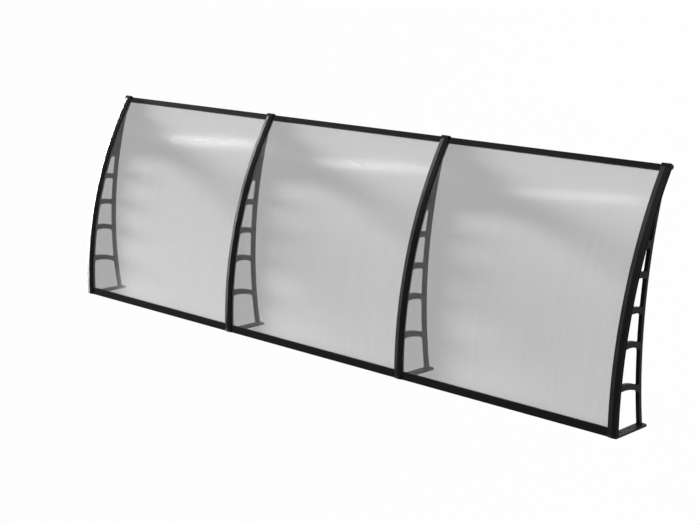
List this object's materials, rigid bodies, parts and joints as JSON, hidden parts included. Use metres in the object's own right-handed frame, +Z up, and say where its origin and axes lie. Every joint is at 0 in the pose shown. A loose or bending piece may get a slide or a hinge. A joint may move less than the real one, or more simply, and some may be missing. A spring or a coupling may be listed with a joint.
{
  "type": "door canopy",
  "caption": "Wall-mounted door canopy: curved translucent sheets clamped between moulded ladder brackets, with straight rails along the wall and the front edge.",
  "frame": {"origin": "middle of the centre rear rail's back face, on the wall plane, halfway along the canopy", "axes": "+X along the wall, -Y straight out from the wall, +Z up"},
  "size_m": [3.038, 0.957, 0.2804],
  "materials": {
    "bracket_plastic": "satin black moulded plastic",
    "cover_plastic": "satin black moulded plastic",
    "sheet_polycarbonate": "translucent grey-clear polycarbonate with fine lengthwise flutes",
    "rail_aluminium": "satin black coated aluminium",
    "screw_steel": "zinc plated"
  },
  "bodies": {
    "root": {"bracket_1": "bracket_plastic", "bracket_2": "bracket_plastic", "bracket_3": "bracket_plastic", "bracket_4": "bracket_plastic", "cover_screw_01": "screw_steel", "cover_screw_02": "screw_steel", "cover_screw_03": "screw_steel", "cover_screw_04": "screw_steel", "cover_screw_05": "screw_steel", "cover_screw_06": "screw_steel", "cover_screw_07": "screw_steel", "cover_screw_08": "screw_steel", "cover_screw_09": "screw_steel", "cover_screw_10": "screw_steel", "cover_screw_11": "screw_steel", "cover_screw_12": "screw_steel", "cover_screw_13": "screw_steel", "cover_screw_14": "screw_steel", "cover_screw_15": "screw_steel", "cover_screw_16": "screw_steel", "cover_screw_17": "screw_steel", "cover_screw_18": "screw_steel", "cover_screw_19": "screw_steel", "cover_screw_20": "screw_steel", "cover_screw_21": "screw_steel", "cover_screw_22": "screw_steel", "cover_screw_23": "screw_steel", "cover_screw_24": "screw_steel", "cover_strip_1": "cover_plastic", "cover_strip_2": "cover_plastic", "cover_strip_3": "cover_plastic", "cover_strip_4": "cover_plastic", "front_rail_1": "rail_aluminium", "front_rail_2": "rail_aluminium", "front_rail_3": "rail_aluminium", "front_rail_screw_01": "screw_steel", "front_rail_screw_02": "screw_steel", "front_rail_screw_03": "screw_steel", "front_rail_screw_04": "screw_steel", "front_rail_screw_05": "screw_steel", "front_rail_screw_06": "screw_steel", "rear_rail_1": "rail_aluminium", "rear_rail_2": "rail_aluminium", "rear_rail_3": "rail_aluminium", "rear_rail_screw_01": "screw_steel", "rear_rail_screw_02": "screw_steel", "rear_rail_screw_03": "screw_steel", "rear_rail_screw_04": "screw_steel", "rear_rail_screw_05": "screw_steel", "rear_rail_screw_06": "screw_steel", "sheet_1": "sheet_polycarbonate", "sheet_2": "sheet_polycarbonate", "sheet_3": "sheet_polycarbonate"}
  },
  "joints": []
}
